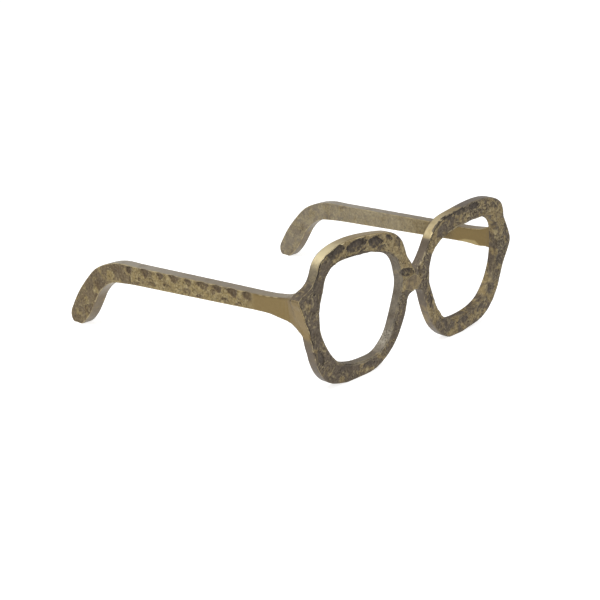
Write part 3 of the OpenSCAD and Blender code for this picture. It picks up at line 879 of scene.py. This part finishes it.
WHITE = (1, 1, 1, 1)
GOLD = rgba(146, 128, 92)
BRIGHT = rgba(198, 182, 140)  # flecks, raised lines, and painted highlights on ridges and edges
# painted highlight colour, on the polished walls
PAINTED_HIGHLIGHT = rgba(222, 208, 168)
TAN = rgba(114, 96, 62)  # the warm smooth metal by the lugs, darkened as painted shade where the flares face down
PALE = rgba(168, 160, 144)  # pale grey
SCUFFED = rgba(124, 111, 96)  # worn specks in the dents
STAIN = rgba(86, 76, 66)  # in the dents
DARK = rgba(48, 38, 27)  # dirt, and painted shade in creases, hollows and under the dents' upper rims


class Nodes:
    """A node tree under construction: each method adds a node and returns its output."""

    def __init__(self, tree):
        self.tree = tree
        tree.nodes.clear()

    def node(self, kind, **settings):
        n = self.tree.nodes.new(kind)
        for key, value in settings.items():
            if key in n.inputs:
                self.join(value, n.inputs[key])
            else:
                setattr(n, key, value)
        return n

    def join(self, value, socket):
        if isinstance(value, bpy.types.NodeSocket):
            self.tree.links.new(value, socket)
        else:
            socket.default_value = value

    def math(self, operation, a, b):
        m = self.node("ShaderNodeMath", operation=operation)
        for socket, value in zip(m.inputs, (a, b)):
            self.join(value, socket)
        return m.outputs[0]

    def times(self, a, b):
        return self.math("MULTIPLY", a, b)

    def plus(self, a, b):
        return self.math("ADD", a, b)

    def minus(self, a, b):
        return self.math("SUBTRACT", a, b)

    def larger(self, a, b):
        return self.math("MAXIMUM", a, b)

    def mix(self, factor, a, b):
        m = self.node("ShaderNodeMix", data_type="RGBA", Factor=factor)
        self.join(a, m.inputs[6])
        self.join(b, m.inputs[7])
        return m.outputs[2]

    def ramp(self, source, low, high):
        """0 where the source is at low, 1 where it is at high, eased at both."""
        r = self.node("ShaderNodeMapRange", interpolation_type="SMOOTHSTEP", Value=source)
        r.inputs["From Min"].default_value = low
        r.inputs["From Max"].default_value = high
        return r.outputs["Result"]

    def span(self, source, low, high):
        """The value from low to high for a source from 0 to 1."""
        r = self.node("ShaderNodeMapRange", Value=source)
        r.inputs["To Min"].default_value = low
        r.inputs["To Max"].default_value = high
        return r.outputs["Result"]

    def stretched(self, vector, scale):
        return self.node("ShaderNodeMapping", Vector=vector, Scale=scale).outputs["Vector"]

    def grain(self, scale, detail=4.0, distortion=0.0, vector=None, kind="FBM"):
        """Noise over the object's surface, with broadest waves of one over the scale, in metres."""
        if vector is None:
            vector = self.node("ShaderNodeTexCoord").outputs["Object"]
        return self.node("ShaderNodeTexNoise", noise_type=kind, Vector=vector, Scale=scale,
                         Detail=detail, Distortion=distortion).outputs["Fac"]

    def specks(self, scale, detail, low, high, distortion=0.0):
        return self.ramp(self.grain(scale, detail, distortion), low, high)


class Brass(Nodes):
    """Antique brass under construction: a colour that layer after layer goes over. A casting has
    its layers' places in its mesh, and a plain rod has the same values all over."""

    def __init__(self, name, plain):
        self.material = bpy.data.materials.new(name)
        self.material.use_nodes = True
        super().__init__(self.material.node_tree)
        self.plain = plain
        self.color = None

    def surface(self, key):
        if self.plain is not None:
            return self.plain.get(key, 0.0)
        return self.node("ShaderNodeAttribute", attribute_name=key).outputs["Fac"]

    def layer(self, color, *shares):
        """Puts a colour over what is there, as far as all the shares say."""
        factor = shares[0]
        for share in shares[1:]:
            factor = self.times(factor, share)
        self.color = self.mix(factor, self.color, color)

    def veins(self, scale, stretch, low, high):
        """Thin broken lines that run along the bar."""
        flow = self.node("ShaderNodeAttribute", attribute_name="flow").outputs["Vector"]
        along = self.stretched(flow, (stretch, 1.0, 1.0))
        lines = self.grain(scale, 3, 0.6, along, "RIDGED_MULTIFRACTAL")
        return self.ramp(lines, low, high)


def filed_strokes(b):
    """Fine strokes that a file leaves along the smooth parts."""
    place = b.node("ShaderNodeTexCoord").outputs["Object"]
    drawn = b.stretched(place, (1.0, 0.07, 1.0))
    return b.ramp(b.grain(900, 3, vector=drawn), 0.35, 0.65)


def cast_grain(b, gilt, bare):
    """The mottled skin of the unfiled metal: flecks, specks of dirt and broken lines."""
    b.layer(BRIGHT, gilt, bare, b.specks(330, 3, 0.5, 0.62, 0.5), 0.42)
    b.layer(DARK, b.specks(650, 4, 0.42, 0.68, 0.4), b.plus(0.14, b.times(bare, 0.4)))
    b.layer(BRIGHT, bare, b.specks(900, 3, 0.54, 0.7), b.plus(0.18, b.times(gilt, 0.2)))
    if b.plain is not None:
        return
    loose = b.surface("loose")
    b.layer(DARK, loose, b.specks(560, 2, 0.52, 0.64))
    b.layer(BRIGHT, loose, b.specks(820, 2, 0.54, 0.68), 0.6)
    b.layer(DARK, b.veins(260, 0.45, 0.44, 0.9), bare)
    b.layer(BRIGHT, b.veins(190, 0.3, 0.64, 1), bare, b.plus(0.54, b.times(gilt, 0.4)))


def stains(b, deep):
    """Stain and painted shade in the dents: a ragged stain, darkest along the lines of painted
    shade, with worn specks.
    """
    dent = b.surface("dent")
    mottle = b.times(b.minus(b.grain(420, 5, 0.6), 0.5), 1.3)
    ragged = b.plus(dent, b.times(mottle, b.ramp(dent, 0.0, 0.2)))
    # darkest where the painted shade lines run
    darkest = b.ramp(b.plus(dent, mottle), 0.62, 1.12)
    b.layer(b.mix(darkest, deep, DARK), b.ramp(ragged, 0.1, 0.6))
    b.layer(SCUFFED, b.ramp(dent, 0.2, 0.6), b.specks(640, 3, 0.54, 0.7), 0.5)


def dressing(b, gold, deep, bare):
    """Raised lines, pale grey patches, the warm tan by the lugs with its painted shade, and painted
    highlights on the polished walls, on a temple corner under the right lug and along edges.
    """
    b.layer(BRIGHT, b.surface("seam"), b.specks(260, 4, 0.42, 0.6), 0.7)
    chalky = b.times(b.surface("pale"), b.specks(130, 2, 0.05, 0.55))
    b.layer(PALE, chalky)
    b.layer(deep, b.ramp(chalky, 0.45, 0.8), bare, b.specks(1000, 2, 0.48, 0.66))
    b.layer(TAN, b.surface("tan"))
    # painted highlight on the temple's corner under the right lug
    b.layer(b.mix(0.35, gold, BRIGHT), b.surface("lit"), 0.7)
    # painted highlight on the polished walls
    b.layer(PAINTED_HIGHLIGHT, b.surface("polish_and_highlight"), b.specks(90, 2, 0.1, 0.6), 0.95)
    # painted highlight along the edges
    b.layer(BRIGHT, b.surface("edge"), b.specks(200, 3, 0.42, 0.56), 0.8)


def relief_highlight_and_shade(b, bare, own_relief):
    """Painted highlight on ridges and painted shade in hollows, as the mesh says or from its
    pointiness alone.
    """
    point = b.node("ShaderNodeNewGeometry").outputs["Pointiness"]
    if own_relief:
        here = b.specks(150, 2, 0.4, 0.62)
        highlight_specks = b.specks(650, 4, 0.35, 0.6, 0.4)
        b.layer(BRIGHT, b.surface("ridge"), highlight_specks, here, 0.65)
        b.layer(DARK, b.surface("cavity"), b.plus(0.6, here), 0.5)
        b.layer(DARK, b.ramp(point, 0.49, 0.43), 0.9)
    else:
        b.layer(BRIGHT, b.ramp(point, 0.508, 0.545), bare, 0.7)
        b.layer(DARK, b.ramp(point, 0.493, 0.455), 0.9)


def brass(name, gold, grey, deep, rough=0.5, patchy=1.6, plain=None, own_relief=False):
    """Antique brass, gold and grey in patches. A piece with its own relief says where its ridges
    and hollows are."""
    b = Brass(name, plain)
    smooth = b.surface("smooth")
    bare = b.minus(1.0, smooth)
    spread = b.times(b.plus(0.35, b.times(bare, 0.65)), patchy)
    blotches = b.times(b.minus(b.grain(170, 4, 0.5), 0.5), spread)
    gilt = b.ramp(b.plus(b.surface("golden"), blotches), 0.22, 0.62)
    b.color = b.mix(gilt, grey, gold)
    b.layer(b.mix(0.5, b.color, DARK), filed_strokes(b), smooth, 0.13)
    cast_grain(b, gilt, bare)
    stains(b, deep)
    dressing(b, gold, deep, bare)
    relief_highlight_and_shade(b, bare, own_relief)

    satin = b.plus(b.times(bare, 0.6), b.times(b.grain(500), 0.4))
    gloss = b.minus(satin, b.times(b.surface("polish_and_highlight"), 0.1))
    relief = b.node("ShaderNodeBump", Distance=0.0004, Height=b.grain(600, 5),
                    Strength=b.plus(0.1, b.times(bare, 0.8)))
    shader = b.node("ShaderNodeBsdfPrincipled", Metallic=b.span(b.times(gilt, smooth), 0.45, 0.85),
                    Roughness=b.span(gloss, rough - 0.12, rough + 0.22),
                    Normal=relief.outputs["Normal"])
    b.join(b.color, shader.inputs["Base Color"])
    b.node("ShaderNodeOutputMaterial", Surface=shader.outputs["BSDF"])
    return b.material


# The room

WORLD_LIGHT = 0.28  # strength of the world on the object
WORLD_MIRRORED = 0.8  # and as the metal mirrors it
FLOOR_SIDE = 6.0
FLOOR_LIFT = 0.75  # glow of the floor where it is seen, over its own white
KEY_LAMP = ((-0.7, 0.1, 1.3), 0.7, 11)  # place, size and power
FILL_LAMP = ((-0.3, -1.4, 0.7), 0.9, 3)


def make_world():
    world = bpy.data.worlds.new("studio")
    bpy.context.scene.world = world
    world.use_nodes = True
    n = Nodes(world.node_tree)
    path = n.node("ShaderNodeLightPath").outputs
    mirrored = n.larger(path["Is Glossy Ray"], path["Is Transmission Ray"])
    strength = n.larger(n.span(mirrored, WORLD_LIGHT, WORLD_MIRRORED), path["Is Camera Ray"])
    background = n.node("ShaderNodeBackground", Color=WHITE, Strength=strength)
    n.node("ShaderNodeOutputWorld", Surface=background.outputs["Background"])


def make_floor():
    mesh = bpy.data.meshes.new("floor")
    s = FLOOR_SIDE / 2
    mesh.from_pydata([(-s, -s, 0), (s, -s, 0), (s, s, 0), (-s, s, 0)], [], [(0, 1, 2, 3)])
    floor = linked("floor", mesh)
    material = bpy.data.materials.new("floor_white")
    material.use_nodes = True
    n = Nodes(material.node_tree)
    path = n.node("ShaderNodeLightPath").outputs
    seen = n.larger(n.larger(path["Is Camera Ray"], path["Is Glossy Ray"]),
                    path["Is Transmission Ray"])
    shader = n.node("ShaderNodeBsdfPrincipled", Roughness=0.9)
    shader.inputs["Base Color"].default_value = (0.9, 0.9, 0.9, 1)
    shader.inputs["Emission Color"].default_value = WHITE
    n.join(n.times(seen, FLOOR_LIFT), shader.inputs["Emission Strength"])
    n.node("ShaderNodeOutputMaterial", Surface=shader.outputs["BSDF"])
    mesh.materials.append(material)


def make_lamp(name, place, size, power):
    data = bpy.data.lights.new(name, "AREA")
    data.size = size
    data.energy = power
    lamp = linked(name, data)
    lamp.location = place
    lamp.rotation_euler = (-Vector(place)).to_track_quat("-Z", "Y").to_euler()


bpy.context.scene.view_settings.view_transform = "Standard"
make_camera()
make_world()
make_floor()
make_lamp("key", *KEY_LAMP)
make_lamp("fill", *FILL_LAMP)

front_metal = brass("hammered_front", rgba(153, 134, 95), rgba(106, 94, 79), rgba(80, 71, 61),
                    patchy=2.3, own_relief=True)
temple_metal = brass("hammered_temples", rgba(154, 135, 90), rgba(120, 103, 76),
                     rgba(103, 86, 62), patchy=0.9)
braze_metal = brass("braze", GOLD, rgba(114, 99, 76), STAIN, patchy=2.4)
pin_metal = brass("pins", rgba(180, 160, 110), rgba(160, 140, 94), STAIN, rough=0.4,
                  plain={"smooth": 1.0, "golden": 1.0})
for side in (-1, 1):
    hammered_rim(side).data.materials.append(front_metal)
    hammered_temple(side).data.materials.append(temple_metal)
    dressed_lug(side).data.materials.append(braze_metal)
dressed_bridge().data.materials.append(braze_metal)
for node_name in ("bridge_dowel", "left_lug_dowels", "right_lug_dowels"):
    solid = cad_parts[node_name]
    solid.data.materials.clear()
    solid.data.materials.append(pin_metal)
